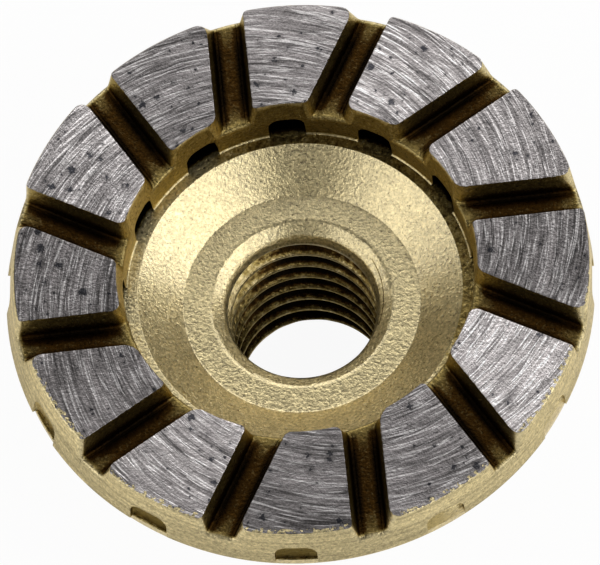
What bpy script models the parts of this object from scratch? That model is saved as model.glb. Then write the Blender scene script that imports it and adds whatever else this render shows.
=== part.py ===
"""Diamond cup wheel: a turned steel body that carries a slotted diamond ring.

The wheel stands on the back of its hub with its grinding face up. Lengths are in metres, +Z is the
spindle axis, and the origin is the middle of the hub's back face.
"""
import math

import bmesh
import bpy

MM = 0.001

# Overall size: the cup's rim, the flat ledge round it and the ring's width add up to the wheel
WHEEL_HEIGHT = 26.0 * MM
CUP_RIM_DIAMETER = 28.1 * MM
CUP_LEDGE = 1.05 * MM
RING_WIDTH = 10.3 * MM

# Diamond ring
RING_HEIGHT = 4.9 * MM
RING_OUTER_DRAFT = 0.35 * MM
RING_INNER_DRAFT = 0.35 * MM
BRAZE_GAP = 0.2 * MM

# Slots between the pads: each centre line passes the wheel's axis at the skew distance
SLOT_COUNT = 12
SLOT_WIDTH = 3.27 * MM
SLOT_DEPTH = 2.25 * MM
SLOT_SKEW = 4.0 * MM
SLOT_WALL_LEAN = 0.5 * MM
SLOT_FLOOR_FILLET = 0.45 * MM
PAD_INNER_CORNER = 0.9 * MM
PAD_OUTER_CORNER = 0.35 * MM

# Tunnels in the ring's underside, one beneath each pad
TUNNEL_WIDTH = 3.6 * MM
TUNNEL_HEIGHT = 2.3 * MM
TUNNEL_CORNER = 1.1 * MM

# Flange and cup
FLANGE_SETBACK = 0.3 * MM
FLANGE_THICKNESS = 2.3 * MM
FLANGE_CHAMFER = 1.4 * MM
CUP_FLOOR_DIAMETER = 20.6 * MM
CUP_CONE_DEPTH = 2.75 * MM
CUP_RIM_ROUNDING = 0.2 * MM
CUP_FLOOR_FILLET = 0.4 * MM
WEB_THICKNESS = 2.5 * MM
WEB_BACK_ROUNDING = 0.8 * MM

# Hub with the spindle bore, whose thread is fine detail left out of the solid
HUB_DIAMETER = 22.0 * MM
HUB_FILLET = 1.5 * MM
HUB_CHAMFER = 0.8 * MM
BORE_DIAMETER = 13.4 * MM
COUNTERSINK_DIAMETER = 15.7 * MM
COUNTERSINK_DEPTH = 1.15 * MM
BORE_BACK_CHAMFER = 0.5 * MM

# Facets
TURN_STEPS = 96
ARC_STEPS = 3
CORNER_STEPS = 4
SMOOTH_ANGLE = math.radians(30)
CUT_MARGIN = 0.6 * MM

# Heights and radii that follow
CUP_RIM_RADIUS = CUP_RIM_DIAMETER / 2
RING_BORE_RADIUS = CUP_RIM_RADIUS + CUP_LEDGE
RING_RADIUS = RING_BORE_RADIUS + RING_WIDTH
FACE_Z = WHEEL_HEIGHT
SLOT_FLOOR_Z = FACE_Z - SLOT_DEPTH
RING_FOOT_Z = FACE_Z - RING_HEIGHT
FLANGE_Z = RING_FOOT_Z - BRAZE_GAP
FLANGE_BACK_Z = FLANGE_Z - FLANGE_THICKNESS
FLANGE_RADIUS = RING_RADIUS - FLANGE_SETBACK
CUP_FLOOR_RADIUS = CUP_FLOOR_DIAMETER / 2
CUP_FLOOR_Z = FLANGE_Z - CUP_CONE_DEPTH
HUB_RADIUS = HUB_DIAMETER / 2
BORE_RADIUS = BORE_DIAMETER / 2
COUNTERSINK_RADIUS = COUNTERSINK_DIAMETER / 2
PITCH = math.tau / SLOT_COUNT


def arc_points(start, end, centre, steps):
    """Points of the short arc about the centre, from start to end."""
    first = math.atan2(start[1] - centre[1], start[0] - centre[0])
    last = math.atan2(end[1] - centre[1], end[0] - centre[0])
    turn = (last - first + math.pi) % math.tau - math.pi
    radius = math.dist(start, centre)
    angles = [first + turn * step / steps for step in range(steps + 1)]
    return [(centre[0] + radius * math.cos(a), centre[1] + radius * math.sin(a)) for a in angles]


def rounded_corner(before, corner, after, radius):
    """Points of the arc that replaces a corner of an outline."""
    to_before = (before[0] - corner[0], before[1] - corner[1])
    to_after = (after[0] - corner[0], after[1] - corner[1])
    length_before = math.hypot(*to_before)
    length_after = math.hypot(*to_after)
    one = (to_before[0] / length_before, to_before[1] / length_before)
    two = (to_after[0] / length_after, to_after[1] / length_after)
    half_angle = math.acos(one[0] * two[0] + one[1] * two[1]) / 2
    reach = radius / math.tan(half_angle)
    start = (corner[0] + one[0] * reach, corner[1] + one[1] * reach)
    end = (corner[0] + two[0] * reach, corner[1] + two[1] * reach)
    middle = (one[0] + two[0], one[1] + two[1])
    to_centre = radius / math.sin(half_angle) / math.hypot(*middle)
    centre = (corner[0] + middle[0] * to_centre, corner[1] + middle[1] * to_centre)
    return arc_points(start, end, centre, ARC_STEPS)


def rounded_outline(corners, closed):
    """An outline from (u, v, fillet radius) corners, with an arc at each corner that has a radius."""
    points = []
    last = len(corners) - 1
    for index, (u, v, radius) in enumerate(corners):
        at_end = not closed and index in (0, last)
        if radius == 0 or at_end:
            points.append((u, v))
            continue
        before = corners[index - 1][:2]
        after = corners[(index + 1) % len(corners)][:2]
        points.extend(rounded_corner(before, (u, v), after, radius))
    return points


def add_object(name, mesh_build):
    """A smooth-shaded mesh object from a bmesh, with its faces turned outward."""
    bmesh.ops.recalc_face_normals(mesh_build, faces=mesh_build.faces)
    mesh = bpy.data.meshes.new(name)
    mesh_build.to_mesh(mesh)
    mesh_build.free()
    mesh.shade_smooth()
    mesh.set_sharp_from_angle(angle=SMOOTH_ANGLE)
    item = bpy.data.objects.new(name, mesh)
    bpy.context.scene.collection.objects.link(item)
    return item


def turned_solid(name, outline):
    """The closed outline of (radius, height) points, spun once round the wheel's axis."""
    build = bmesh.new()
    verts = [build.verts.new((radius, 0, height)) for radius, height in outline]
    edges = [build.edges.new((verts[i - 1], verts[i])) for i in range(len(verts))]
    bmesh.ops.spin(build, geom=verts + edges, axis=(0, 0, 1), cent=(0, 0, 0), angle=math.tau,
                   steps=TURN_STEPS, use_merge=True)
    return add_object(name, build)


def metal(name, colour, metallic, roughness):
    """A plain metal or metallic paint."""
    material = bpy.data.materials.new(name)
    material.use_nodes = True
    shader = material.node_tree.nodes["Principled BSDF"]
    shader.inputs["Base Color"].default_value = (*colour, 1)
    shader.inputs["Metallic"].default_value = metallic
    shader.inputs["Roughness"].default_value = roughness
    return material


def web_back_radius(height):
    """Radius of the web's back cone, which runs parallel to the cup's cone."""
    slope = math.atan2(CUP_CONE_DEPTH, CUP_RIM_RADIUS - CUP_FLOOR_RADIUS)
    foot_radius = CUP_FLOOR_RADIUS + WEB_THICKNESS * math.sin(slope)
    foot_height = CUP_FLOOR_Z - WEB_THICKNESS * math.cos(slope)
    return foot_radius + (height - foot_height) / math.tan(slope)


def web_back_height(radius):
    """Height of the web's back cone at a radius."""
    slope = math.atan2(CUP_CONE_DEPTH, CUP_RIM_RADIUS - CUP_FLOOR_RADIUS)
    return FLANGE_BACK_Z + (radius - web_back_radius(FLANGE_BACK_Z)) * math.tan(slope)


def steel_body():
    """The turned body: hub, web, cup floor and the flange under the ring."""
    corners = [
        (BORE_RADIUS, BORE_BACK_CHAMFER, 0),
        (BORE_RADIUS + BORE_BACK_CHAMFER, 0, 0),
        (HUB_RADIUS - HUB_CHAMFER, 0, 0),
        (HUB_RADIUS, HUB_CHAMFER, 0),
        (HUB_RADIUS, web_back_height(HUB_RADIUS), HUB_FILLET),
        (web_back_radius(FLANGE_BACK_Z), FLANGE_BACK_Z, WEB_BACK_ROUNDING),
        (FLANGE_RADIUS - FLANGE_CHAMFER, FLANGE_BACK_Z, 0),
        (FLANGE_RADIUS, FLANGE_BACK_Z + FLANGE_CHAMFER, 0),
        (FLANGE_RADIUS, FLANGE_Z, 0),
        (CUP_RIM_RADIUS, FLANGE_Z, CUP_RIM_ROUNDING),
        (CUP_FLOOR_RADIUS, CUP_FLOOR_Z, CUP_FLOOR_FILLET),
        (COUNTERSINK_RADIUS, CUP_FLOOR_Z, 0),
        (BORE_RADIUS, CUP_FLOOR_Z - COUNTERSINK_DEPTH, 0),
    ]
    body = turned_solid("steel_body", rounded_outline(corners, closed=True))
    body.data.materials.append(metal("gold_paint", (0.36, 0.30, 0.13), 0.6, 0.45))
    return body


def outer_wall_radius(height):
    """The ring's outer wall leans in from its foot to its face."""
    return RING_RADIUS - RING_OUTER_DRAFT * (height - RING_FOOT_Z) / RING_HEIGHT


def inner_wall_radius(height):
    """The ring's inner wall is upright to the slot floors and leans back beside the pads."""
    above_floor = max(height - SLOT_FLOOR_Z, 0)
    return RING_BORE_RADIUS + RING_INNER_DRAFT * above_floor / SLOT_DEPTH


def slot_side(offset, height, side):
    """One side of a slot at one height, as plan points from inside the cup to beyond the rim.

    The side is a straight line at its own distance from the wheel's axis. At each end an arc that
    touches both the line and the ring's wall rounds the pad's corner.
    """
    line = SLOT_SKEW + side * offset
    ends = (
        (inner_wall_radius(height), PAD_INNER_CORNER, 1),
        (outer_wall_radius(height), PAD_OUTER_CORNER, -1),
    )
    points = []
    for wall_radius, corner, into_pad in ends:
        centre_y = line + side * corner
        centre_radius = wall_radius + into_pad * corner
        centre = (math.sqrt(centre_radius ** 2 - centre_y ** 2), centre_y)
        on_line = (centre[0], line)
        on_wall = (centre[0] * wall_radius / centre_radius, centre_y * wall_radius / centre_radius)
        beyond_scale = 1 - into_pad * CUT_MARGIN / wall_radius
        beyond = (on_wall[0] * beyond_scale, on_wall[1] * beyond_scale)
        run = [beyond] + arc_points(on_wall, on_line, centre, CORNER_STEPS)
        points.extend(run if into_pad == 1 else reversed(run))
    return points


def slot_section():
    """Half of a slot's cross-section as (offset, height) points, from above the face to its floor."""
    half_width = SLOT_WIDTH / 2
    half_floor = half_width - SLOT_WALL_LEAN
    half_above = half_width + SLOT_WALL_LEAN * CUT_MARGIN / SLOT_DEPTH
    corners = [
        (half_above, FACE_Z + CUT_MARGIN, 0),
        (half_floor, SLOT_FLOOR_Z, SLOT_FLOOR_FILLET),
        (0, SLOT_FLOOR_Z, 0),
    ]
    return rounded_outline(corners, closed=False)[:-1]


def turned_by(point, height, angle):
    """A plan point turned round the wheel's axis and set at a height."""
    x = point[0] * math.cos(angle) - point[1] * math.sin(angle)
    y = point[0] * math.sin(angle) + point[1] * math.cos(angle)
    return (x, y, height)


def add_loft(build, loops):
    """A closed skin over equal rings of points, with its first and last ring filled."""
    rings = [[build.verts.new(point) for point in loop] for loop in loops]
    count = len(rings[0])
    for first, second in zip(rings, rings[1:]):
        for i in range(count):
            build.faces.new((first[i - 1], first[i], second[i], second[i - 1]))
    build.faces.new(rings[0])
    build.faces.new(list(reversed(rings[-1])))


def hide_cutter(cutter):
    """A cutter is only a tool: it isn't rendered and shows as wire."""
    cutter.hide_render = True
    cutter.display_type = "WIRE"
    return cutter


def slot_cutter():
    """The twelve slots as one cutter, each lofted through its cross-sections."""
    section = slot_section()
    near_sides = [slot_side(offset, height, 1) for offset, height in section]
    far_sides = [slot_side(offset, height, -1) for offset, height in section]
    heights = [height for _, height in section]
    build = bmesh.new()
    for slot in range(SLOT_COUNT):
        angle = slot * PITCH
        loops = []
        for station in range(len(near_sides[0])):
            down = [turned_by(side[station], z, angle) for side, z in zip(near_sides, heights)]
            up = [turned_by(side[station], z, angle) for side, z in zip(far_sides, heights)]
            loops.append(down + up[::-1])
        add_loft(build, loops)
    return hide_cutter(add_object("slot_cutter", build))


def tunnel_cutter():
    """The twelve tunnels as one cutter, each an arch between two slots and parallel to their skew."""
    half_width = TUNNEL_WIDTH / 2
    roof_z = RING_FOOT_Z + TUNNEL_HEIGHT
    corners = [
        (half_width, RING_FOOT_Z - CUT_MARGIN, 0),
        (half_width, roof_z, TUNNEL_CORNER),
        (-half_width, roof_z, TUNNEL_CORNER),
        (-half_width, RING_FOOT_Z - CUT_MARGIN, 0),
    ]
    section = rounded_outline(corners, closed=False)
    reach_in = math.sqrt(RING_BORE_RADIUS ** 2 - (SLOT_SKEW + half_width) ** 2) - CUT_MARGIN
    reach_out = RING_RADIUS + CUT_MARGIN
    build = bmesh.new()
    for slot in range(SLOT_COUNT):
        angle = (slot + 0.5) * PITCH
        loops = []
        for along in (reach_in, reach_out):
            loops.append([turned_by((along, SLOT_SKEW + y), z, angle) for y, z in section])
        add_loft(build, loops)
    return hide_cutter(add_object("tunnel_cutter", build))


def cut(item, cutter):
    """Takes the cutter's shape out of the object."""
    modifier = item.modifiers.new(cutter.name, "BOOLEAN")
    modifier.operation = "DIFFERENCE"
    modifier.solver = "EXACT"
    modifier.object = cutter


def diamond_ring():
    """The sintered ring: twelve pads above, twelve tunnels beneath."""
    outline = [
        (inner_wall_radius(RING_FOOT_Z), RING_FOOT_Z),
        (outer_wall_radius(RING_FOOT_Z), RING_FOOT_Z),
        (outer_wall_radius(FACE_Z), FACE_Z),
        (inner_wall_radius(FACE_Z), FACE_Z),
        (inner_wall_radius(SLOT_FLOOR_Z), SLOT_FLOOR_Z),
    ]
    ring = turned_solid("diamond_ring", outline)
    cut(ring, slot_cutter())
    cut(ring, tunnel_cutter())
    ring.data.materials.append(metal("ground_metal", (0.42, 0.41, 0.43), 0.8, 0.4))
    return ring


def main():
    """Builds the wheel in an emptied scene."""
    for item in list(bpy.data.objects):
        bpy.data.objects.remove(item)
    steel_body()
    diamond_ring()


main()
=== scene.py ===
import math

import bmesh
import bpy
import numpy as np
from mathutils import Matrix, Vector


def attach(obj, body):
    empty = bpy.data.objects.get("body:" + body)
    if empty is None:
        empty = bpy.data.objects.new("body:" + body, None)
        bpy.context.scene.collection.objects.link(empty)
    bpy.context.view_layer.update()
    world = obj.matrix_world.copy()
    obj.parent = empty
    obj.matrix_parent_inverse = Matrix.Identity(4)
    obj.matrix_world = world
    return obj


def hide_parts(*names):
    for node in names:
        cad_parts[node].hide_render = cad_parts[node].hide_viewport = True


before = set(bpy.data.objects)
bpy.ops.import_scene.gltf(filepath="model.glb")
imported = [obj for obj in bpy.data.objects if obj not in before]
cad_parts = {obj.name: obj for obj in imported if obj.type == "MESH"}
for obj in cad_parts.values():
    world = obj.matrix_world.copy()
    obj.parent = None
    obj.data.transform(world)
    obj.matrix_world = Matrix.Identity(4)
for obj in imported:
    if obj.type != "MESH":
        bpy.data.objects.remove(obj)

bl_info = {
    "name": "Diamond Cup Wheel",
    "version": (1, 0, 0),
    "blender": (4, 5, 0),
    "location": "3D View > Sidebar > Cup Wheel",
    "description": "Builds a painted diamond cup wheel and the studio it is shown in",
    "category": "Object",
}

MM = 0.001
SLOTS = 12
PITCH_ANGLE = math.tau / SLOTS
PITCHES = np.arange(SLOTS)[None, :, None]

# Vertices nearer to each other than this, in metres, become one
MERGE = 1e-7

# Painted shade as it deepens: olive, umber and black, which down the bore is also bare steel; and the
# bright specks that stand out in it
SHADE_OLIVE = (0.42, 0.31, 0.10, 1)
SHADE_UMBER = (0.070, 0.032, 0.005, 1)
SHADE_AND_BARE_BLACK = (0.003, 0.0015, 0.0003, 1)
BRIGHT_SPECK = (0.66, 0.52, 0.22, 1)

# The bright scratches and the dark grit in the ground metal
SCRATCH = (0.95, 0.91, 0.90, 1)
GRIT = (0.020, 0.022, 0.030, 1)

# Colour of the metals' reflections at a grazing angle
GRAZING = (0.92, 0.80, 0.52, 1)


def length(name, description, default):
    """A setting that holds a length in metres."""
    return bpy.props.FloatProperty(name=name, description=description, default=default,
                                   unit="LENGTH", precision=5)


class WheelSizes(bpy.types.PropertyGroup):
    """Sizes that the body and the ring share."""

    height: length("Height", "From the hub's back to the grinding face", 0.026)
    ring_radius: length("Ring Radius", "Outside of the ring at its foot", 0.0254)
    ring_bore: length("Ring Bore", "Radius of the ring's inside", 0.0151)
    flange_height: length("Flange Height", "Height of the ledge that carries the ring", 0.0209)


class BodySettings(bpy.types.PropertyGroup):
    """Sizes and finish of the turned body."""

    cup_rim: length("Cup Rim", "Radius where the ledge meets the cup's cone", 0.01405)
    cup_floor: length("Cup Floor", "Radius of the cup's flat floor", 0.0103)
    cup_depth: length("Cup Depth", "Depth of the cup's cone", 0.00275)
    countersink: length("Countersink", "Radius of the countersink at the cup's floor", 0.00785)
    countersink_depth: length("Countersink Depth", "Depth of the countersink's shallow cone", 0.00074)
    throat: length("Throat", "Radius where the shallow cone meets the steep one", 0.00675)
    throat_depth: length(
        "Throat Depth", "Depth below the cup's floor where the thread's crest begins", 0.0015)
    thread_crest: length("Thread Crest", "Radius of the thread's crest", 0.0064)
    thread_root: length("Thread Root", "Radius of the thread's root", 0.0077)
    thread_pitch: length("Thread Pitch", "Rise of the thread in one turn", 0.0254 / 11)
    thread_phase: length("Thread Phase", "Height of a crest at angle zero", 0.00214)
    paint: bpy.props.FloatVectorProperty(
        name="Paint", description="Colour of the metallic paint",
        subtype="COLOR", size=3, default=(0.84, 0.703, 0.385), min=0, max=1)


class RingSettings(bpy.types.PropertyGroup):
    """Sizes and finish of the diamond ring."""

    slot_width: length("Slot Width", "Width of a slot at the grinding face", 0.00327)
    slot_depth: length("Slot Depth", "Depth of a slot below the grinding face", 0.00225)
    slot_skew: length("Slot Skew", "How far a slot's centre line passes from the axis", 0.0040)
    tunnel_width: length("Tunnel Width", "Width of a tunnel under a pad", 0.0036)
    tunnel_height: length("Tunnel Height", "Height of a tunnel above the ledge", 0.0025)
    tunnel_skew: length("Tunnel Skew", "How far a tunnel's centre line passes from the axis", 0.0028)
    tunnel_turn: bpy.props.FloatProperty(
        name="Tunnel Turn", description="Turn from a slot's direction to the next tunnel's",
        default=math.radians(17.66), unit="ROTATION")
    draft: length("Draft", "How far the outer wall leans in from foot to face", 0.00035)
    ground: bpy.props.FloatVectorProperty(
        name="Ground Metal", description="Colour of the ground faces",
        subtype="COLOR", size=3, default=(0.296, 0.274, 0.2715), min=0, max=1)


class StageSettings(bpy.types.PropertyGroup):
    """Strengths of the studio's lamps."""

    key: bpy.props.FloatProperty(
        name="Key", description="Radiance of the softboxes at the right", default=2.3, min=0)
    fill: bpy.props.FloatProperty(
        name="Fill", description="Radiance of the softboxes at the left", default=2.4, min=0)
    back: bpy.props.FloatProperty(
        name="Back", description="Radiance of the softboxes behind the wheel", default=2.0, min=0)
    world: bpy.props.FloatProperty(
        name="World", description="Strength of the even light", default=0.08, min=0)
    bounce: bpy.props.FloatProperty(
        name="Bounce", description="How white the floor looks in the wheel's reflections",
        default=0.38, min=0, max=1)


# Shared geometry

def smooth(x):
    """Eases from 0 to 1 as x goes from 0 to 1, flat at both ends."""
    t = np.clip(x, 0, 1)
    return t * t * (3 - 2 * t)


def facing(angle, side, start, reach):
    """1 on the side at so many degrees, easing to 0 away from it by the cosine of the angle between."""
    return smooth((np.cos(angle - math.radians(side)) + start) / reach)


def rounded_line(corners, steps):
    """Points (n, 2) of an outline through (u, v, radius, steps to the next corner) corners.

    At a corner with a radius an arc that touches both sides takes the corner's place. Each straight
    run is split into equal steps.
    """
    points = []
    count = len(corners)
    for i, (u, v, radius, runs) in enumerate(corners):
        here = np.array((u, v))
        if 0 < i < count - 1 and radius > 0:
            a = np.array(corners[i - 1][:2]) - here
            b = np.array(corners[i + 1][:2]) - here
            a /= np.linalg.norm(a)
            b /= np.linalg.norm(b)
            half = math.acos(np.clip(a @ b, -1, 1)) / 2
            bisector = (a + b) / np.linalg.norm(a + b)
            centre = here + bisector * radius / math.sin(half)
            start = here + a * radius / math.tan(half) - centre
            end = here + b * radius / math.tan(half) - centre
            t = np.linspace(0, 1, steps + 1)[:, None]
            arc = start * (1 - t) + end * t
            arc *= radius / np.linalg.norm(arc, axis=1)[:, None]
            points.append(centre + arc)
        else:
            points.append(here[None])
        if runs > 1 and i < count - 1:
            points.append(("run", runs))
    out = []
    for i, item in enumerate(points):
        if isinstance(item, tuple):
            first = out[-1][-1]
            last = points[i + 1][0]
            t = np.linspace(0, 1, item[1] + 1)[1:-1, None]
            out.append(first * (1 - t) + last * t)
        else:
            out.append(item)
    return np.concatenate(out)


def grid_quads(rows, columns, first=0, shift=0, close_rows=False):
    """Quads of a grid whose columns close round the axis, numbered from a first vertex.

    The last column joins the first one, a number of rows further on where there is a shift. The last
    row joins the first where the rows close too.
    """
    r = np.arange(rows if close_rows else rows - 1)
    c = np.arange(columns)
    rr, cc = np.meshgrid(r, c, indexing="ij")
    wrap = (cc == columns - 1) * shift
    nr = (rr + 1) % rows if close_rows else rr + 1
    nc = (cc + 1) % columns
    quads = np.stack([rr * columns + cc, (rr + wrap) * columns + nc,
                      (nr + wrap) * columns + nc, nr * columns + cc], axis=-1).reshape(-1, 4)
    keep = quads.max(axis=1) < rows * columns
    return quads[keep] + first


def place(name, data):
    """A new object in the scene that holds a mesh, a lamp or a camera."""
    item = bpy.data.objects.new(name, data)
    bpy.context.scene.collection.objects.link(item)
    return item


def add_mesh(name, verts, quads, attributes):
    """A smooth-shaded mesh object from whole arrays, in metres.

    The attributes are named arrays, with one or three numbers for each vertex. Vertices that fall
    together are merged, which closes the seams where rows or columns meet.
    """
    mesh = bpy.data.meshes.new(name)
    mesh.vertices.add(len(verts))
    mesh.vertices.foreach_set("co", np.ascontiguousarray(verts, dtype=np.float32).ravel())
    mesh.loops.add(quads.size)
    mesh.loops.foreach_set("vertex_index", quads.ravel().astype(np.int32))
    mesh.polygons.add(len(quads))
    mesh.polygons.foreach_set("loop_start", np.arange(0, quads.size, 4, dtype=np.int32))
    for label, values in attributes.items():
        kind, key = ("FLOAT", "value") if values.size == len(verts) else ("FLOAT_VECTOR", "vector")
        layer = mesh.attributes.new(label, kind, "POINT")
        layer.data.foreach_set(key, np.ascontiguousarray(values, dtype=np.float32).ravel())
    mesh.update(calc_edges=True)
    mesh.validate()
    build = bmesh.new()
    build.from_mesh(mesh)
    bmesh.ops.remove_doubles(build, verts=build.verts, dist=MERGE)
    bmesh.ops.dissolve_degenerate(build, edges=build.edges, dist=MERGE)
    build.to_mesh(mesh)
    build.free()
    mesh.shade_smooth()
    return place(name, mesh)


# Materials

class Nodes:
    """Builds a material's node tree one node at a time."""

    def __init__(self, name):
        self.material = bpy.data.materials.new(name)
        self.material.use_nodes = True
        self.tree = self.material.node_tree
        self.shader = self.tree.nodes["Principled BSDF"]

    def set(self, socket, value):
        """Links a socket to another, or gives it a plain value."""
        if isinstance(value, bpy.types.NodeSocket):
            self.tree.links.new(value, socket)
        else:
            socket.default_value = value

    def fill(self, node, inputs):
        """Links or sets several inputs of a node, given by name or number."""
        for key, value in inputs.items():
            self.set(node.inputs[key], value)

    def add(self, kind, output=0, inputs=None, **settings):
        """Adds a node with its settings and inputs, and returns one of its outputs."""
        node = self.tree.nodes.new(kind)
        for key, value in settings.items():
            setattr(node, key, value)
        self.fill(node, inputs or {})
        return node.outputs[output]

    def axis(self, vector, letter):
        """One part of a vector or a colour: X, Y or Z."""
        return self.add("ShaderNodeSeparateXYZ", letter, {0: vector})

    def math(self, operation, a, b=0.0, c=0.0, clamp=False):
        """One step of arithmetic."""
        return self.add("ShaderNodeMath", 0, {0: a, 1: b, 2: c}, operation=operation, use_clamp=clamp)

    def product(self, a, b):
        """One value times another."""
        return self.math("MULTIPLY", a, b)

    def position(self):
        """The point in the object's own coordinates, in millimetres."""
        point = self.add("ShaderNodeTexCoord", "Object")
        return self.add("ShaderNodeVectorMath", 0, {0: point, "Scale": 1000.0}, operation="SCALE")

    def noise(self, vector, scale, detail=2.0, rough=0.5, output="Fac"):
        """Fractal noise with so many features in a millimetre."""
        return self.add("ShaderNodeTexNoise", output,
                        {"Vector": vector, "Scale": scale, "Detail": detail, "Roughness": rough})

    def cells(self, vector, scale, output):
        """Cells with so many in a millimetre: the distance from the cell's middle, or its colour."""
        return self.add("ShaderNodeTexVoronoi", output, {"Vector": vector, "Scale": scale})

    def remap(self, value, low, high, to_low=0.0, to_high=1.0):
        """Brings a range of values to another range, held at its ends."""
        return self.add("ShaderNodeMapRange", 0, {"Value": value, "From Min": low, "From Max": high,
                                                  "To Min": to_low, "To Max": to_high})

    def blend(self, factor, a, b):
        """Mixes two colours."""
        node = self.tree.nodes.new("ShaderNodeMix")
        node.data_type = "RGBA"
        self.fill(node, {0: factor, 6: a, 7: b})
        return node.outputs[2]

    def ramp(self, value, stops):
        """A colour that runs through stops, each a place from 0 to 1 and its colour."""
        node = self.tree.nodes.new("ShaderNodeValToRGB")
        bands = node.color_ramp.elements
        for i, (place, colour) in enumerate(stops):
            band = bands[i] if i < 2 else bands.new(place)
            band.position = place
            band.color = colour
        self.set(node.inputs[0], value)
        return node.outputs[0]

    def gain(self, colour, *factors):
        """A colour made lighter or darker by each factor in turn."""
        for factor in factors:
            colour = self.add("ShaderNodeVectorMath", 0, {0: colour, "Scale": factor}, operation="SCALE")
        return colour

    def attribute(self, name, output="Fac"):
        """A value stored on the mesh."""
        return self.add("ShaderNodeAttribute", output, attribute_name=name)

    def bump(self, height, distance, strength, normal=None):
        """Tilts the surface by a height map; the distance is in millimetres."""
        inputs = {"Height": height, "Distance": distance * MM, "Strength": strength}
        if normal:
            inputs["Normal"] = normal
        return self.add("ShaderNodeBump", 0, inputs)


def rgba(colour, gain=1.0):
    """A colour with full alpha, made lighter or darker."""
    return tuple(min(channel * gain, 1.0) for channel in colour) + (1.0,)


def paint_layer(nodes, point, colour, shade):
    """Colour, roughness and normal of the grained metallic paint.

    The shade is painted shade: it runs from full paint at 0 through olive and umber to black at 1,
    which down the bore is also bare steel. Cells of flake, dark pores and slow patches make it
    lighter and darker, and bright specks stand out where the shade is middling.
    """
    grain = nodes.noise(point, 3.6, 2.0, 0.7)
    flake = nodes.axis(nodes.cells(point, 5.0, "Color"), "X")
    patches = nodes.noise(point, 0.35, 3.0, 0.6)
    mottle = nodes.noise(point, 1.7, 2.0, 0.6)
    speck = nodes.remap(nodes.noise(point, 4.6, 1.0, 0.5), 0.58, 0.70)
    coat = nodes.ramp(shade, [
        (0.0, rgba(colour)),
        (0.35, SHADE_OLIVE),
        (0.70, SHADE_UMBER),
        (1.0, SHADE_AND_BARE_BLACK),
    ])
    spread = nodes.remap(nodes.product(mottle, shade), 0.0, 0.4, 1.0, 0.6)
    coat = nodes.gain(coat, nodes.remap(flake, 0.0, 1.0, 0.78, 1.08),
                      nodes.remap(grain, 0.32, 0.66, 0.58, 1.06),
                      nodes.remap(patches, 0.35, 0.70, 1.03, 0.92), spread)
    # Where the painted shade is middling, bright specks stand out
    half_shaded = nodes.product(nodes.remap(shade, 0.08, 0.3), nodes.remap(shade, 0.78, 0.45))
    coat = nodes.blend(nodes.product(speck, nodes.product(half_shaded, 0.3)), coat, BRIGHT_SPECK)
    rough = nodes.remap(grain, 0.3, 0.7, 0.26, 0.38)
    bump = nodes.bump(nodes.math("MULTIPLY_ADD", flake, 0.25, grain), 0.09, 0.8)
    return coat, rough, bump


def finish(nodes, colour, rough, normal, cover):
    """Joins a metal's colour, roughness and normal to the shader, under a clear coat of some cover."""
    nodes.fill(nodes.shader, {
        "Base Color": colour, "Metallic": 0.95, "Specular Tint": GRAZING, "Roughness": rough,
        "Normal": normal, "Coat Weight": cover, "Coat Roughness": 0.25})
    return nodes.material


def clear_cover(nodes, shade):
    """How much clear coat lies on the paint: none where painted shade darkens it."""
    return nodes.remap(shade, 0.0, 0.15, 0.7, 0.0)


def body_material(settings):
    """Metallic paint that gives way, at a ragged edge, to bare dark steel with painted shade down the
    bore, and to painted shade on the ledge under the ring.
    """
    nodes = Nodes("gold_paint")
    point = nodes.position()
    bore = nodes.attribute("bore")
    ragged = nodes.remap(nodes.noise(point, 1.9, 3.0, 0.65), 0.25, 0.75, -0.3, 0.3)
    partly = nodes.remap(nodes.math("ABSOLUTE", nodes.math("SUBTRACT", bore, 0.5)), 0.5, 0.25)
    shade = nodes.math("MULTIPLY_ADD", ragged, partly, bore, clamp=True)
    paint, rough, bump = paint_layer(nodes, point, settings.paint, shade)
    return finish(nodes, paint, rough, bump, clear_cover(nodes, shade))


def streaks(nodes, sweep, along, across, detail, turn=0.0):
    """Noise drawn out along the grinding arcs; the rates are features in a millimetre."""
    turned = nodes.add("ShaderNodeMapping", 0, {"Vector": sweep, "Rotation": (0.0, 0.0, turn)})
    drawn = nodes.add("ShaderNodeMapping", 0, {"Vector": turned, "Scale": (along, across, 1.0)})
    return nodes.noise(drawn, 1.0, detail, 0.6)


def grit(nodes, point, ragged, rate, least, most):
    """Dark grit: a mask of the pits and one of the halos round them, one pit to a cell."""
    distance = nodes.cells(point, rate, "Distance")
    size = nodes.axis(nodes.cells(point, rate, "Color"), "X")
    reach = nodes.remap(size, 0.0, 1.0, least, most)
    gap = nodes.math("SUBTRACT", nodes.math("MULTIPLY_ADD", ragged, 0.5, distance),
                     nodes.math("ADD", reach, 0.25))
    return nodes.remap(gap, 0.02, -0.04), nodes.remap(gap, 0.28, -0.02)


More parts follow.
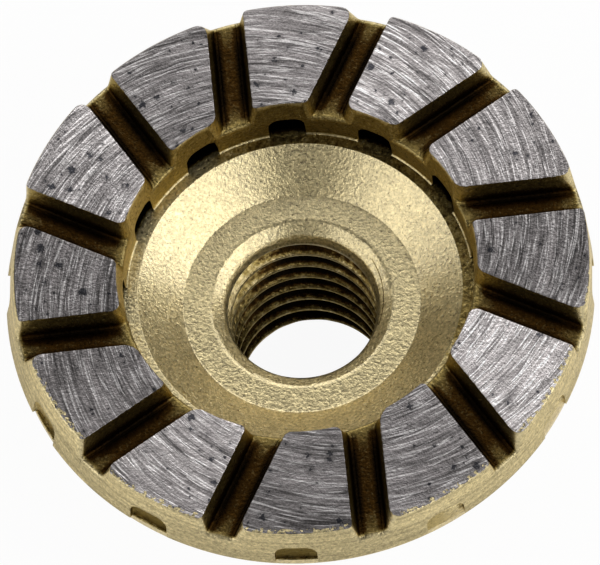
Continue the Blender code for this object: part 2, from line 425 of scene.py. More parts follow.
def ring_material(settings, body):
    """Metallic paint on the walls and slots, and bare ground metal on the pads' faces.

    The metal is bare above a height near the face, which noise makes ragged and which rises at the
    outer edge. Its streaks follow the stored arcs: long soft bands, fine lines and a few bright
    scratches, with dark grit among them. The outer wall keeps the marks of its turning under the
    paint, and darkens towards its foot.
    """
    nodes = Nodes("ground_metal")
    point = nodes.position()
    shade = nodes.attribute("shade")
    paint, paint_rough, paint_bump = paint_layer(nodes, point, body.paint, shade)
    height = nodes.axis(point, "Z")
    ragged = nodes.noise(point, 2.0, 3.0, 0.7)
    bite = nodes.remap(nodes.noise(point, 2.0, 2.0, 0.6), 0.46, 0.70, 0.0, 0.26)
    edge = nodes.math("MULTIPLY_ADD", ragged, 0.17, height)
    edge = nodes.math("SUBTRACT", edge, nodes.product(nodes.attribute("rim"), bite))
    bare = nodes.remap(edge, 26.018, 26.038)
    sweep = nodes.attribute("sweep", "Vector")
    turned = nodes.product(nodes.attribute("turned"), nodes.remap(bare, 1.0, 0.0))
    marks = streaks(nodes, sweep, 0.06, 2.4, 4.0)
    paint = nodes.gain(paint, nodes.add("ShaderNodeMix", 0, {
        0: turned, 2: 1.0, 3: nodes.remap(marks, 0.30, 0.66, 0.66, 1.22)}))
    paint = nodes.gain(paint, nodes.remap(nodes.product(turned, nodes.math(
        "SUBTRACT", 25.0, height)), 0.0, 3.0, 1.0, 0.75))
    waver = nodes.add("ShaderNodeVectorMath", 0, {
        0: nodes.noise(point, 0.5, 1.0, 0.5, "Color"), 1: (0.0, 0.16, 0.0), 2: sweep},
        operation="MULTIPLY_ADD")
    bands = streaks(nodes, waver, 0.08, 1.0, 2.0)
    lines = streaks(nodes, waver, 0.20, 4.8, 3.0)
    crossing = streaks(nodes, sweep, 0.26, 5.8, 2.0, math.radians(3))
    hairs = streaks(nodes, sweep, 0.24, 6.2, 1.0, math.radians(-2))
    nicks = streaks(nodes, sweep, 0.40, 7.0, 1.0, math.radians(6))
    tone = nodes.math("MULTIPLY_ADD", bands, 0.30, nodes.math(
        "MULTIPLY_ADD", lines, 0.34, nodes.math(
            "MULTIPLY_ADD", crossing, 0.20, nodes.product(nodes.noise(point, 5.0), 0.16))))
    bright = nodes.math("MAXIMUM", nodes.remap(hairs, 0.57, 0.68), nodes.remap(nicks, 0.60, 0.70))
    dark = nodes.math("MAXIMUM", nodes.remap(lines, 0.40, 0.30), nodes.remap(crossing, 0.36, 0.28))
    metal = nodes.blend(nodes.remap(tone, 0.40, 0.60), rgba(settings.ground, 0.28),
                        rgba(settings.ground, 1.50))
    metal = nodes.blend(nodes.product(bright, 0.65), metal, SCRATCH)
    metal = nodes.blend(nodes.product(dark, 0.55), metal, rgba(settings.ground, 0.22))
    clumps = nodes.noise(point, 4.2, 2.0, 0.6)
    pit, halo = grit(nodes, point, clumps, 0.60, -0.02, 0.23)
    fleck, around = grit(nodes, point, clumps, 1.3, -0.20, 0.20)
    chip = nodes.product(nodes.remap(edge, 26.06, 26.04),
                      nodes.remap(clumps, 0.48, 0.58, 0.0, 0.8))
    pits = nodes.math("MAXIMUM", nodes.math("MAXIMUM", pit, fleck), chip)
    metal = nodes.blend(nodes.product(nodes.math("MAXIMUM", halo, around), 0.5), metal,
                        rgba(settings.ground, 0.30))
    metal = nodes.blend(nodes.product(pits, 0.85), metal, GRIT)
    # Painted sheen: each pad's stored tone lightens or darkens its metal for the light its streaks catch
    metal = nodes.gain(metal, nodes.attribute("tone"))
    colour = nodes.blend(bare, paint, metal)
    face_rough = nodes.remap(tone, 0.36, 0.64, 0.46, 0.30)
    rough = nodes.add("ShaderNodeMix", 0, {0: bare, 2: paint_rough, 3: face_rough})
    depth = nodes.math("SUBTRACT", nodes.math("MULTIPLY_ADD", hairs, 0.5, tone), pits)
    bump = nodes.bump(nodes.product(depth, bare), 0.035, 0.7, paint_bump)
    nodes.fill(nodes.shader, {"Tangent": nodes.attribute("grind", "Vector"), "Anisotropic": 0.75})
    cover = nodes.product(nodes.remap(bare, 1.0, 0.0), clear_cover(nodes, shade))
    cover = nodes.product(cover, nodes.remap(turned, 0.0, 1.0, 1.0, 0.35))
    return finish(nodes, colour, rough, bump, cover)


# Pieces

class CUPWHEEL_OT_body(bpy.types.Operator):
    """Build the turned steel body with its threaded bore"""

    bl_idname = "cupwheel.body"
    bl_label = "Turned Body"

    columns = 288

    # Outside, in mm: the hub's radius, how far the flange stands back from the ring, its thickness
    # and that of the cup's wall
    hub = 11.0
    setback = 0.3
    flange_thick = 2.3
    wall_thick = 2.5

    # Where the thread's rows stand, in shares of the pitch from one crest to the next
    shares = (0.0, 0.05, 0.075, 0.18, 0.29, 0.40, 0.44, 0.5, 0.56, 0.60, 0.695, 0.71, 0.725, 0.82,
              0.925, 0.95)
    keys = len(shares)

    # The flank lies between these shares of the pitch from the crest's middle
    crest_flat = 0.065
    root_flat = 0.43

    # The height at which the groove starts to run out and the height over which it does, in mm
    run_out = 15.9
    run_length = 1.3

    # The line scored into the countersink where the groove runs out: its place and half its length
    # in turns of the thread, and its row's share of the pitch
    score_turn = 6.72
    score_reach = 0.07
    score_share = 0.71

    def outline(self, sizes, settings):
        """Half-section from the bore's back edge round the outside to the countersink, in mm."""
        rim = settings.cup_rim / MM
        floor = settings.cup_floor / MM
        ledge_z = sizes.flange_height / MM
        floor_z = ledge_z - settings.cup_depth / MM
        flange = sizes.ring_radius / MM - self.setback
        back_z = ledge_z - self.flange_thick
        slope = math.atan2(ledge_z - floor_z, rim - floor)
        foot = (floor + self.wall_thick * math.sin(slope), floor_z - self.wall_thick * math.cos(slope))
        web_r = foot[0] + (back_z - foot[1]) / math.tan(slope)
        web_z = foot[1] + (self.hub - foot[0]) * math.tan(slope)
        crest = settings.thread_crest / MM
        return rounded_line([
            (crest + 0.5, 0.0, 0.0, 4),
            (10.2, 0.0, 0.12, 2),
            (self.hub, 0.8, 0.12, 10),
            (self.hub, web_z, 1.5, 2),
            (web_r, back_z, 0.8, 8),
            (flange - 1.4, back_z, 0.15, 3),
            (flange, back_z + 1.4, 0.15, 2),
            (flange, ledge_z, 0.15, 30),
            (rim, ledge_z, 0.15, 12),
            (floor, floor_z, 0.25, 8),
            (settings.countersink / MM, floor_z, 0.0, 1),
        ], 6)

    def bore(self, sizes, settings):
        """Radius, height and darkness of the threaded bore, as rows that climb with the thread.

        A row stands at height phase + pitch * (turn + share + angle / full turn). Its radius is the
        thread's profile at that share of the pitch: a crest that is nearly flat, a straight flank, a
        flat root. Near the top the groove grows shallow and ends. The countersink's shallow and steep
        cones and the back edge's cone take the thread's place where they are wider.

        The darkness is 0 on full paint and 1 on black: bare steel with painted shade on it. It follows
        the groove, grows with the depth in the bore, and is less on the sides at 190 and 10 degrees,
        which the light reaches.
        """
        pitch = settings.thread_pitch / MM
        crest = settings.thread_crest / MM
        root = settings.thread_root / MM
        top = sizes.flange_height / MM - settings.cup_depth / MM
        shares = np.array(self.shares)
        away = np.minimum(shares, 1 - shares)
        flank = np.clip((away - self.crest_flat) / (self.root_flat - self.crest_flat), 0, 1)
        profile = crest + (root - crest) * flank
        profile[[1, -1]] += 0.006
        profile[[2, -2]] += 0.012
        turns = np.arange(-2, int(top / pitch) + 3)
        share = (turns[:, None] + shares).ravel()
        radius = np.tile(profile, len(turns))
        angle = np.linspace(0, math.tau, self.columns, endpoint=False)
        z = settings.thread_phase / MM + pitch * (share[:, None] + angle / math.tau)
        slot_z = settings.thread_phase / MM + pitch * (np.floor(share)[:, None] + 0.5 + angle / math.tau)
        edge_z = top - settings.throat_depth / MM
        cone_z = (edge_z, top - settings.countersink_depth / MM, top)
        cone_r = (crest, settings.throat / MM, settings.countersink / MM)
        full = root - crest
        depth = full * (1 - smooth((slot_z - self.run_out) / self.run_length))
        r = crest + (radius[:, None] - crest) * depth / full
        z = np.clip(z, 0.0, top)
        cone = np.interp(z, cone_z, cone_r)
        r = np.maximum(np.maximum(r, cone), crest + 0.5 - z)
        r = np.where(z <= 0.0, crest + 0.5, r)
        r = np.where(z >= top, settings.countersink / MM, r)
        bare = np.maximum(np.maximum(crest, cone), crest + 0.5 - z)
        hollow = smooth((r - bare) / full / 0.22)
        depth_in = smooth((edge_z - z) / 9.0)
        # Painted shade in the grooves: darker deeper in the bore, lighter on the sides the light reaches
        groove = 0.80 - 0.66 * facing(angle, 190, 0.1, 0.8)
        groove = groove - 0.14 * facing(angle, 10, -0.2, 0.6)
        groove = groove + 0.60 * depth_in
        groove = groove * (1 - 0.85 * smooth((slot_z - 16.2) / 0.7))
        land = (0.04 + 0.22 * depth_in) * smooth((edge_z + 0.1 - z) / 0.5)
        deep = groove * hollow + land * (1 - hollow)
        helix = share[:, None] + angle / math.tau
        scored = np.abs(helix - self.score_turn) < self.score_reach
        scored = scored & (np.abs(share[:, None] % 1 - self.score_share) < 0.001) & (z < top - 0.05)
        deep = np.clip(np.where(scored, 0.85, deep), 0, 1)
        return r, z, deep

    def execute(self, context):
        """Turns the outside's and the bore's rows round the axis: x = r cos a, y = r sin a.

        The ledge has painted shade: it is dark under the ring, and half dark at its outer edge and on the
        side at 40 degrees, which the ring shelters.
        """
        sizes = context.scene.cupwheel_sizes
        settings = context.scene.cupwheel_body
        outline = self.outline(sizes, settings)
        angle = np.linspace(0, math.tau, self.columns, endpoint=False)
        shell_r = np.repeat(outline[:, :1], self.columns, axis=1)
        shell_z = np.repeat(outline[:, 1:], self.columns, axis=1)
        bore_r, bore_z, deep = self.bore(sizes, settings)
        rows = len(bore_r)
        r = np.concatenate([shell_r, bore_r])
        z = np.concatenate([shell_z, bore_z])
        # Painted shade on the ledge: black under the ring, half dark near its outer edge and on the
        # sheltered side
        under_ring = smooth((shell_r - sizes.ring_bore / MM - 0.05) / 0.4)
        under_ring *= smooth((sizes.ring_radius / MM - 1.2 - shell_r) / 0.5)
        under_ring += 0.45 * smooth((shell_r - sizes.ring_radius / MM + 0.9) / 0.4)
        under_ring *= np.abs(shell_z - sizes.flange_height / MM) < 0.05
        sheltered = 0.45 * facing(angle, 40, 0.0, 0.6)
        sheltered = sheltered * (np.abs(shell_z - sizes.flange_height / MM) < 0.02)
        bore = np.concatenate([np.maximum(under_ring, sheltered), deep])
        verts = np.stack([r * np.cos(angle), r * np.sin(angle), z], axis=-1).reshape(-1, 3) * MM
        shell = grid_quads(len(outline), self.columns)
        thread = grid_quads(rows, self.columns, shell_r.size, self.keys)
        quads = np.concatenate([shell, thread[:, ::-1]])
        item = add_mesh("turned_body", verts, quads, {"bore": bore})
        item.data.materials.append(body_material(settings))
        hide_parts("steel_body")
        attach(item, "root")
        return {"FINISHED"}


class CUPWHEEL_OT_ring(bpy.types.Operator):
    """Build the diamond ring with its slots, pads and tunnels"""

    bl_idname = "cupwheel.ring"
    bl_label = "Diamond Ring"

    # Columns across a pad's face, and rows along a tunnel, as shares of its length
    pad_steps = 30
    low_shares = np.linspace(0, 1, 8)[:, None, None]

    # Angle between the grinding streaks and a circle round the axis
    streak = math.radians(12)

    # How far apart in the noise two pads' streaks are drawn
    streak_seed = 7.3

    # Width in mm of the rounded edge at the inner end of a pad
    edge = 0.12

    # The inner wall leans back by the first, in mm, over the second, just under the face
    inner_lean = 0.35
    lean_height = 2.25

    # The tunnels' inner radius and their reach outwards in mm, and their width at the inner end as a
    # share of that at the outer one
    tunnel_start = 15.1
    tunnel_reach = 10.3
    narrowest = 0.86

    # Side, in degrees, where the tunnels' outer mouths are deepest and their painted shade darkest
    recess_side = 246

    # Corner radii in mm at the inner ends of the slots in turn: on the slot's clockwise side, then on
    # the other. The outer end's clockwise side is nearly sharp and its other side flares.
    inner_corners = ((0.5, 0.7), (0.85, 0.6), (1.0, 0.35), (0.35, 0.7), (0.5, 0.5), (0.7, 0.45),
                     (0.9, 1.0), (0.5, 0.8), (0.6, 0.5), (0.8, 1.0), (0.6, 0.5), (0.9, 0.7))

    # For each pad: the width in mm of its rounded outer edge, and how far its outer wall leans in
    # beyond the draft
    pad_edges = (0.10, 0.10, 0.12, 0.14, 0.14, 0.20, 0.22, 0.18, 0.15, 0.15, 0.20, 0.12)
    pad_leans = (0.0, 0.0, 0.06, 0.22, 0.26, 0.75, 0.85, 0.36, 0.18, 0.0, 0.05, 0.0)

    # Painted sheen: how bright each pad's ground face is drawn beside the others, for the light its
    # streaks catch
    pad_sheens = (1.31, 1.58, 1.0, 0.85, 1.27, 0.68, 0.73, 1.44, 0.68, 0.8, 1.83, 0.72)

    def slot_section(self, settings):
        """Half of a slot's section: distance from its middle and depth under the face, in mm."""
        half = settings.slot_width / MM / 2
        depth = settings.slot_depth / MM
        line = rounded_line([
            (0.0, depth - 0.08, 0.0, 2),
            (0.5 * half, depth - 0.06, 0.5, 2),
            (half - 0.5, depth + 0.06, 0.30, 6),
            (half, 0.0, 0.12, 1),
            (half + 0.14, 0.0, 0.0, 1),
        ], 4)
        return line[:, 0], line[:, 1]

    def tunnel_section(self, settings):
        """Half of a tunnel's section: distance from its middle and height over the ledge, in mm."""
        half = settings.tunnel_width / MM / 2
        height = settings.tunnel_height / MM
        line = rounded_line([
            (0.0, height, 0.0, 4),
            (half, height, 1.1, 5),
            (half, 0.0, 0.0, 1),
        ], 6)
        return line[:, 0], line[:, 1]

    def top_angles(self, r, wall_in, wall_out, offset, skew):
        """Angles of the slot and pad columns at radius r, for rows by pitches by columns.

        A slot's column is a straight line at its own distance from the wheel's axis, so its angle is
        the arc sine of distance over radius. Near a wall it swings away by a quarter circle's gap,
        c (1 - sqrt(1 - (1 - d / c)^2)), at d from the wall, which rounds the pad's corner. The pad's
        columns share the angle between the two slots equally.
        """
        count = len(offset)
        corners = np.array(self.inner_corners)
        weight = smooth(offset / 0.9)
        lift = smooth((offset - 0.9) / 0.9)

        def swing(gap, c):
            """The quarter circle's gap, which is nothing at c from the wall and c at the wall."""
            return c * (1 - np.sqrt(1 - np.clip(1 - gap / c, 0, 1) ** 2))

        def line(side, columns, radii, flare):
            """Angles of the columns on one side of a slot, with the radii of its two corners."""
            inner = swing((r - wall_in)[..., columns], radii[None, :, None])
            outer = swing((wall_out - r)[..., columns], flare)
            shift = offset + weight * (inner + outer)
            return np.arcsin((skew + side * shift) / r[..., columns])

        ahead = line(1, slice(count), corners[:, 1], 0.25 + 1.0 * lift) + PITCHES * PITCH_ANGLE
        behind = line(-1, slice(None, -count - 1, -1), np.roll(corners[:, 0], -1), 0.3 + 0.1 * lift)
        behind = (behind + (PITCHES + 1) * PITCH_ANGLE)[..., ::-1]
        share = np.arange(1, self.pad_steps) / self.pad_steps
        pad = ahead[..., -1:] * (1 - share) + behind[..., :1] * share
        return np.concatenate([ahead, pad, behind], axis=-1)

    def low_angles(self, r, settings, columns):
        """Angles and heights of the foot and tunnel columns at radius r, as many as the top has.

        A tunnel's column is a straight line too, at its own distance from the axis, which shrinks
        towards the inner end.
        """
        skew = settings.slot_skew / MM
        offset, height = self.tunnel_section(settings)
        across = np.concatenate([-offset[::-1], offset[1:]])
        rise = np.concatenate([height[::-1], height[1:]])
        outward = np.clip((r[..., :1] - self.tunnel_start) / self.tunnel_reach, 0, 1)
        narrowed = across * (self.narrowest + (1 - self.narrowest) * outward)
        arch = np.arcsin((settings.tunnel_skew / MM + narrowed) / r[..., :1]) + settings.tunnel_turn
        arch = arch + PITCHES * PITCH_ANGLE
        spare = columns - len(across)
        before = spare // 2
        start = np.arcsin(skew / r[..., :1]) + PITCHES * PITCH_ANGLE
        share = np.arange(before) / before
        ahead = start * (1 - share) + arch[..., :1] * share
        share = np.arange(1, spare - before + 1) / (spare - before)
        behind = arch[..., -1:] * (1 - share) + (start + PITCH_ANGLE) * share
        angles = np.concatenate([ahead, arch, behind], axis=-1)
        rises = np.concatenate([np.zeros(before), rise, np.zeros(spare - before)])
        return angles, rises

    def execute(self, context):
        """Wraps a closed section round the axis, as rows by pitches by columns: x = r cos a, y = r sin a.

        The rows run along the top, down the outer wall, back under the foot and through the tunnels,
        and up the inner wall. On the top the columns follow the slots and below they follow the
        tunnels, and on the walls they slide from one set of angles to the other.
        """
        sizes = context.scene.cupwheel_sizes
        settings = context.scene.cupwheel_ring
        face = sizes.height / MM
        inner = sizes.ring_bore / MM
        outer = sizes.ring_radius / MM
        foot = sizes.flange_height / MM - 0.02
        skew = settings.slot_skew / MM
        draft = settings.draft / MM
        offset, depth = self.slot_section(settings)
        columns = 2 * len(offset) + self.pad_steps - 1

        def wall_in(z):
            """Radius of the inner wall, which leans back under the face."""
            return inner + self.inner_lean * np.clip((z - face + self.lean_height) / self.lean_height,
                                                     0, 1)

        # A pad's lean passes into its neighbour's across the slot between them
        sink = np.concatenate([depth, np.zeros(self.pad_steps - 1), depth[::-1]])
        leans = np.array(self.pad_leans)[None, :, None]
        neighbour = np.where(np.arange(columns) < columns // 2, np.roll(leans, 1, axis=1),
                             np.roll(leans, -1, axis=1))
        passed = smooth(sink / depth[0]) / 2
        leans = draft + leans * (1 - passed) + neighbour * passed

        def wall_out(z):
            """Radius of the outer wall, which leans in from its foot to the face."""
            return outer - leans * (z - foot) / (face - foot)

        # Top: rows from the inner wall's rounded edge to the outer one's
        top_z = np.broadcast_to(face - sink, (1, SLOTS, columns))
        lip = self.edge + 0.16 * smooth(sink / self.lean_height)
        pad_edge = np.array(self.pad_edges)[None, :, None]
        out_lip = pad_edge + (0.28 - pad_edge) * smooth(sink / 1.5)
        out_drop = np.minimum(out_lip, 0.1 + 0.5 * out_lip)
        turn = np.linspace(0, math.pi / 2, 5)[:, None, None]
        rise_in = top_z - lip * (1 - np.sin(turn))
        first = wall_in(top_z) + lip * (1 - np.cos(turn))
        rise_out = top_z - out_drop * (1 - np.sin(turn))
        last = wall_out(rise_out) - out_lip * (1 - np.cos(turn))
        ends = np.array([0.06, 0.14, 0.25, 0.4, 0.6, 0.85, 1.2, 1.7])
        width = outer - inner - 2 * self.edge
        inside = np.linspace(ends[-1], width - ends[-1], 17)[1:-1]
        share = np.concatenate([ends, inside, width - ends[::-1]])[:, None, None] / width
        flat = first[-1:] * (1 - share) + last[-1:] * share
        r_top = np.concatenate([first * np.ones((1, SLOTS, 1)), flat, last[::-1]])
        z_top = np.concatenate([rise_in, np.repeat(top_z, len(share), axis=0), rise_out[::-1]])
        a_top = self.top_angles(r_top, wall_in(top_z), wall_out(top_z), offset, skew)

        # Foot and tunnels: rows from the outer wall back to the inner one. A thin web closes each
        # tunnel just inside the outer wall.
        ones = np.ones((1, SLOTS, columns))
        a_out, rise = self.low_angles(ones * outer, settings, columns)
        low_z = foot + rise
        stands = 1 - smooth(rise / 0.3)
        fillet = 0.28 * stands
        r_out_low = (wall_out(low_z) - 0.08 * (1 - stands)) * ones
        r_in_low = (wall_in(low_z) - fillet + 0.08 * (1 - stands)) * ones
        recess = facing(a_out, self.recess_side, -0.6, 0.35)
        web = wall_out(low_z) - 0.06 - 0.20 * recess
        inward = (web - 0.5) * (1 - self.low_shares) + r_in_low * self.low_shares
        r_low = np.concatenate([r_out_low, web, web - 0.01, web - 0.49, inward])
        a_low, _ = self.low_angles(r_low, settings, columns)
        roof = low_z * ones
        z_low = np.concatenate([roof, roof, foot * ones, foot * ones,
                                np.repeat(roof, len(self.low_shares), axis=0)])

        # Walls: rows between the top's edge and the foot's, sliding from one set of columns to the other
        share = np.array([0.12, 0.26, 0.42, 0.58, 0.74, 0.88])[:, None, None]
        near = np.array([0.3, 0.2, 0.12, 0.06, 0.02])[:, None, None]
        concave = fillet * (1 - np.sqrt(1 - np.clip(1 - near / 0.3, 0, 1) ** 2))
        bevel = 0.08 * (1 - stands) * (1 - np.sqrt(np.clip(1 - (1 - near / 0.3) ** 2, 0, 1)))

        def wall(side, start_z, start_a, end_a):
            """Radius, height and angle of the rows down the outer wall, side 1, or the inner one, -1."""
            low = low_z + near[0]
            z = np.concatenate([start_z * (1 - share) + low * share, (low_z + near) * ones])
            down = np.clip((start_z - z) / (start_z - low), 0, 1)
            r = wall_out(z) if side > 0 else wall_in(z)
            r[len(share):] += -bevel if side > 0 else bevel - concave
            a = start_a * (1 - smooth(down)) + end_a * smooth(down)
            return r, z, a

        r_wo, z_wo, a_wo = wall(1, z_top[-1:], a_top[-1:], a_low[:1])
        r_wi, z_wi, a_wi = wall(-1, z_top[:1], a_top[:1], a_low[-1:])

        r = np.concatenate([r_top, r_wo, r_low, r_wi[::-1]])
        z = np.concatenate([z_top, z_wo, z_low, z_wi[::-1]])
        a = np.concatenate([a_top, a_wo, a_low, a_wi[::-1]])
        rows = len(r)
        top_rows = len(r_top)

        # Painted shade in the slots: umber along the middle of the bottom, black beside it, olive on the
        # walls, less towards both ends and at the inner lip, and the middle shifted with the slot's
        # heading
        shade = np.zeros((rows, SLOTS, columns))
        beside = np.concatenate([offset, np.full(self.pad_steps - 1, offset[-1]), -offset[::-1]])
        heading = (PITCHES + (beside < 0)) * PITCH_ANGLE
        half = settings.slot_width / MM / 2
        from_middle = np.abs(beside - (0.05 - 0.15 * np.cos(heading)))
        walled = smooth((np.abs(beside) - half + 0.5) / 0.3)
        strip = 0.72 + 0.26 * smooth((from_middle - 0.35) / 0.4)
        to_end = np.minimum(r_top - wall_in(top_z), wall_out(top_z) - r_top)
        opened = 1 - smooth(to_end / 3.0)
        slot_shade = strip * (1 - 0.25 * opened) * (1 - walled) + walled * (0.42 - 0.12 * opened)
        at_lip = 1 - smooth((r_top - wall_in(top_z)) / 1.1)
        slot_shade = slot_shade * (1 - at_lip) + 0.30 * at_lip
        to_out = wall_out(top_z) - r_top
        ending = smooth((to_out - 0.1) / np.where(beside > 0, 0.4 + 0.9 * walled, 0.5))
        shade[:top_rows] = np.clip(slot_shade * ending, 0, 1) * (sink > 0.01)

        # Painted shade of the tunnels, their mouths and the sheltered side of the inner wall
        low_rows = slice(top_rows + len(r_wo), top_rows + len(r_wo) + len(r_low))
        shade[low_rows] = 1.0
        shade[low_rows.start:low_rows.start + 3] = (0.08 + 0.44 * recess) * (1 - stands)
        sheltered = 0.16 + 0.32 * facing(a_wi, 70, 0.1, 0.8)
        in_mouth = (1 - stands) * smooth((foot + rise + 0.2 - z_wi) / 0.15)
        shade[low_rows.stop:] = (sheltered * (1 - in_mouth) + in_mouth)[::-1]
        # A painted highlight: the inner wall's foot between the tunnels keeps little shade
        shade[low_rows.stop:] *= 1 - 0.8 * stands * (z_wi[::-1] - foot < 0.15)
        in_mouth = (1 - stands) * smooth((foot + rise + 0.1 - z_wo) / 0.1)
        shade[top_rows:low_rows.start] = 0.5 * in_mouth * recess

        # Nearness to the outer edge of the front pads, whose metal is chipped there
        rim = np.zeros((rows, SLOTS, columns))
        rim[:top_rows] = np.clip(1 - (wall_out(top_z) - out_lip - r_top) / 0.5, 0, 1) * (sink < 0.01)
        rim *= 0.15 + 0.85 * smooth(-np.sin(a) / 0.5)

        # The turned outer wall, and each pad's painted sheen
        turned = np.zeros((rows, SLOTS, columns))
        turned[top_rows - 4:low_rows.start] = 1
        tone = np.array(self.pad_sheens)[None, :, None] + 0 * shade

        # Lengths along and across the grinding streaks. A streak is a spiral that crosses every circle
        # at the same angle: its angle round the axis is a constant minus tan(streak) log r. On the
        # outer wall the streaks run round the axis, and the length across them is the height.
        middle_r = (inner + outer) / 2
        log_r = np.log(r / middle_r)
        along = middle_r * (a + math.tan(self.streak) * log_r)
        across = middle_r * (log_r - math.tan(self.streak) * a)
        along = np.where(turned > 0, outer * a, along)
        across = np.where(turned > 0, z, across)
        sweep = np.stack([along, across, PITCHES * self.streak_seed + 0 * a], axis=-1)

        # Direction of the streaks, for the highlights; elsewhere it points up
        on_top = np.zeros((rows, 1, 1))
        on_top[2:top_rows - 4] = 1
        lean = a - self.streak
        grind = np.stack([np.cos(lean) * on_top, np.sin(lean) * on_top, (1 - on_top) + 0 * a], axis=-1)

        flat = (rows, SLOTS * columns)
        r, z, a = (x.reshape(flat) for x in (r, z, a))
        verts = np.stack([r * np.cos(a), r * np.sin(a), z], axis=-1).reshape(-1, 3) * MM
        quads = grid_quads(rows, SLOTS * columns, close_rows=True)[:, ::-1]
        item = add_mesh("slotted_ring", verts, quads, {
            "shade": shade, "turned": turned, "tone": tone, "rim": rim, "sweep": sweep, "grind": grind})
        item.data.materials.append(ring_material(settings, context.scene.cupwheel_body))
        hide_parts("diamond_ring")
        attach(item, "root")
        return {"FINISHED"}


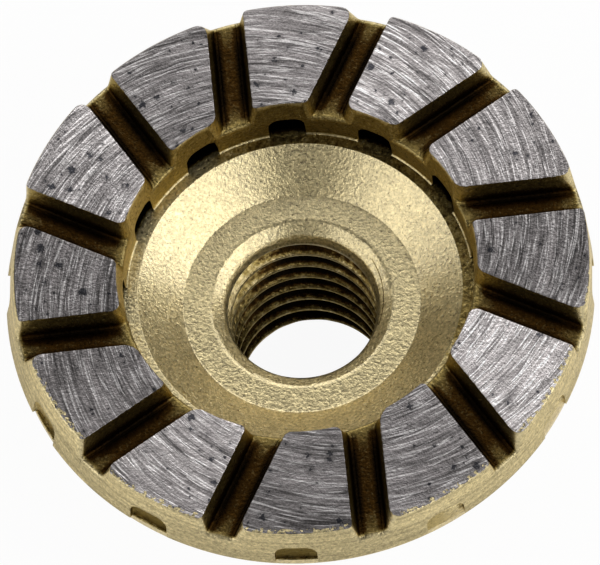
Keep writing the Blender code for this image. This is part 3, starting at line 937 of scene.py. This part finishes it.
class CUPWHEEL_OT_stage(bpy.types.Operator):
    """Build the pale floor, the lamps and the camera"""

    bl_idname = "cupwheel.stage"
    bl_label = "Studio"

    # Softboxes, all at one distance: name, azimuth, elevation, width, height, the setting that holds
    # the radiance and a factor on it. Lengths are in metres and angles in degrees.
    distance = 0.5
    lamps = (
        ("key_low", -38, 28, 0.48, 0.17, "key", 1.0),
        ("key_high", -32, 50, 0.50, 0.20, "key", 1.1),
        ("right_low", 1, 28, 0.20, 0.17, "key", 1.6),
        ("left_low", 190, 28, 0.58, 0.17, "fill", 1.0),
        ("left_high", 211, 50, 0.23, 0.20, "fill", 0.8),
        ("left_rim", 206, 10, 0.45, 0.20, "fill", 0.3),
        ("back_low", 88, 28, 0.48, 0.17, "back", 1.08),
        ("back_high", 78, 50, 0.60, 0.20, "back", 1.0),
    )

    # Half the floor's width, and its height, a hair under the hub's back
    floor_reach = 1.5
    floor_z = -0.0002

    # The share of plain white in what the camera sees of the floor
    paper_white = 0.94

    # In the wheel's reflections the floor grows whiter by a factor between two places along X
    whiter_span = (0.005, 0.03)
    whiter = 2.7

    # The camera: its angles, its distance, the point it looks at in mm, and its focal length and the
    # picture's width in pixels
    view_elevation = 65.03
    view_azimuth = 2.07
    view_roll = -8.259
    view_distance = 0.549606
    view_target = (0.05, 1.115, 20.0)
    focal_pixels = 6363.24
    picture_width = 600.0
    sensor = 36.0

    def lamp(self, name, azimuth, elevation, width, height, radiance):
        """A rectangular area lamp that faces the wheel; its radiance is power / (pi area).

        Azimuth 0 is +X and turns towards +Y.
        """
        light = bpy.data.lights.new(name, "AREA")
        light.shape = "RECTANGLE"
        light.size = width
        light.size_y = height
        light.energy = radiance * math.pi * width * height
        item = place(name, light)
        a = math.radians(azimuth)
        e = math.radians(elevation)
        towards = Vector((math.cos(a) * math.cos(e), math.sin(a) * math.cos(e), math.sin(e)))
        item.location = towards * self.distance + Vector((0, 0, 0.02))
        item.rotation_mode = "QUATERNION"
        item.rotation_quaternion = towards.to_track_quat("Z", "Y")

    def floor(self, bounce):
        """A large white floor that reads as plain white paper and keeps a faint shadow."""
        x = np.array([-1, 1, 1, -1]) * self.floor_reach
        y = np.array([-1, -1, 1, 1]) * self.floor_reach
        z = np.full(4, self.floor_z)
        mesh = bpy.data.meshes.new("floor")
        mesh.from_pydata(np.stack([x, y, z], axis=-1).tolist(), [], [(0, 1, 2, 3)])
        item = place("floor", mesh)
        nodes = Nodes("white_floor")
        nodes.fill(nodes.shader, {
            "Base Color": (0.9, 0.9, 0.9, 1), "Roughness": 0.9, "Specular IOR Level": 0.0})
        glow = nodes.add("ShaderNodeEmission", 0, {"Color": (1, 1, 1, 1), "Strength": 1.0})
        camera = nodes.add("ShaderNodeLightPath", "Is Camera Ray")
        glossy = nodes.add("ShaderNodeLightPath", "Is Glossy Ray")
        along_x = nodes.axis(nodes.add("ShaderNodeTexCoord", "Object"), "X")
        level = nodes.remap(along_x, *self.whiter_span, bounce, min(self.whiter * bounce, 1.0))
        factor = nodes.math("MAXIMUM", nodes.product(camera, self.paper_white),
                            nodes.product(glossy, level))
        mix = nodes.add("ShaderNodeMixShader", 0, {0: factor, 1: nodes.shader.outputs[0], 2: glow})
        nodes.fill(nodes.tree.nodes["Material Output"], {"Surface": mix})
        mesh.materials.append(nodes.material)

    def world(self, strength):
        """An even grey light; the camera sees it white."""
        world = bpy.data.worlds.new("studio")
        bpy.context.scene.world = world
        world.use_nodes = True
        tree = world.node_tree
        back = tree.nodes["Background"]
        back.inputs["Color"].default_value = (1, 1, 1, 1)
        path = tree.nodes.new("ShaderNodeLightPath")
        level = tree.nodes.new("ShaderNodeMapRange")
        level.inputs["To Min"].default_value = strength
        level.inputs["To Max"].default_value = 1.0
        tree.links.new(path.outputs["Is Camera Ray"], level.inputs["Value"])
        tree.links.new(level.outputs[0], back.inputs["Strength"])

    def camera(self):
        """The camera, placed so that the wheel's circles look as they do in the photograph."""
        elevation = math.radians(self.view_elevation)
        azimuth = math.radians(self.view_azimuth)
        roll = math.radians(self.view_roll)
        target = Vector(self.view_target) * MM
        back = Vector((math.sin(azimuth) * math.cos(elevation),
                       -math.cos(azimuth) * math.cos(elevation), math.sin(elevation)))
        right = (-back).cross(Vector((0, 0, 1))).normalized()
        up = right.cross(-back)
        x = right * math.cos(roll) + up * math.sin(roll)
        y = up * math.cos(roll) - right * math.sin(roll)
        data = bpy.data.cameras.new("camera")
        data.sensor_width = self.sensor
        data.lens = self.focal_pixels * self.sensor / self.picture_width
        item = place("camera", data)
        turn = Matrix((x, y, back)).transposed().to_4x4()
        item.matrix_world = Matrix.Translation(target + back * self.view_distance) @ turn
        bpy.context.scene.camera = item

    def execute(self, context):
        """Sets up the floor, the even light, the softboxes and the camera."""
        settings = context.scene.cupwheel_stage
        self.floor(settings.bounce)
        self.world(settings.world)
        for name, azimuth, elevation, width, height, group, share in self.lamps:
            radiance = getattr(settings, group) * share
            self.lamp(name, azimuth, elevation, width, height, radiance)
        self.camera()
        context.scene.view_settings.view_transform = "Standard"
        return {"FINISHED"}


class CUPWHEEL_PT_panel(bpy.types.Panel):
    """The add-on's panel in the sidebar"""

    bl_label = "Cup Wheel"
    bl_space_type = "VIEW_3D"
    bl_region_type = "UI"
    bl_category = "Cup Wheel"

    def draw(self, context):
        for name in GROUPS:
            group = getattr(context.scene, name)
            box = self.layout.box()
            for key in group.__annotations__:
                box.prop(group, key)
        for name in OPERATORS:
            self.layout.operator(name)


GROUPS = {"cupwheel_sizes": WheelSizes, "cupwheel_body": BodySettings,
          "cupwheel_ring": RingSettings, "cupwheel_stage": StageSettings}
CLASSES = (*GROUPS.values(), CUPWHEEL_OT_body, CUPWHEEL_OT_ring, CUPWHEEL_OT_stage,
           CUPWHEEL_PT_panel)
OPERATORS = ("cupwheel.body", "cupwheel.ring", "cupwheel.stage")


def register():
    """Registers the classes and hangs the settings on the scene."""
    for item in CLASSES:
        bpy.utils.register_class(item)
    for name, group in GROUPS.items():
        setattr(bpy.types.Scene, name, bpy.props.PointerProperty(type=group))


def unregister():
    """Takes the settings off the scene and the classes out."""
    for name in GROUPS:
        delattr(bpy.types.Scene, name)
    for item in reversed(CLASSES):
        bpy.utils.unregister_class(item)


def main():
    """Registers the add-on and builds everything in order."""
    register()
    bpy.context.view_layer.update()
    bpy.ops.cupwheel.body()
    bpy.ops.cupwheel.ring()
    bpy.ops.cupwheel.stage()


if __name__ == "__main__":
    main()
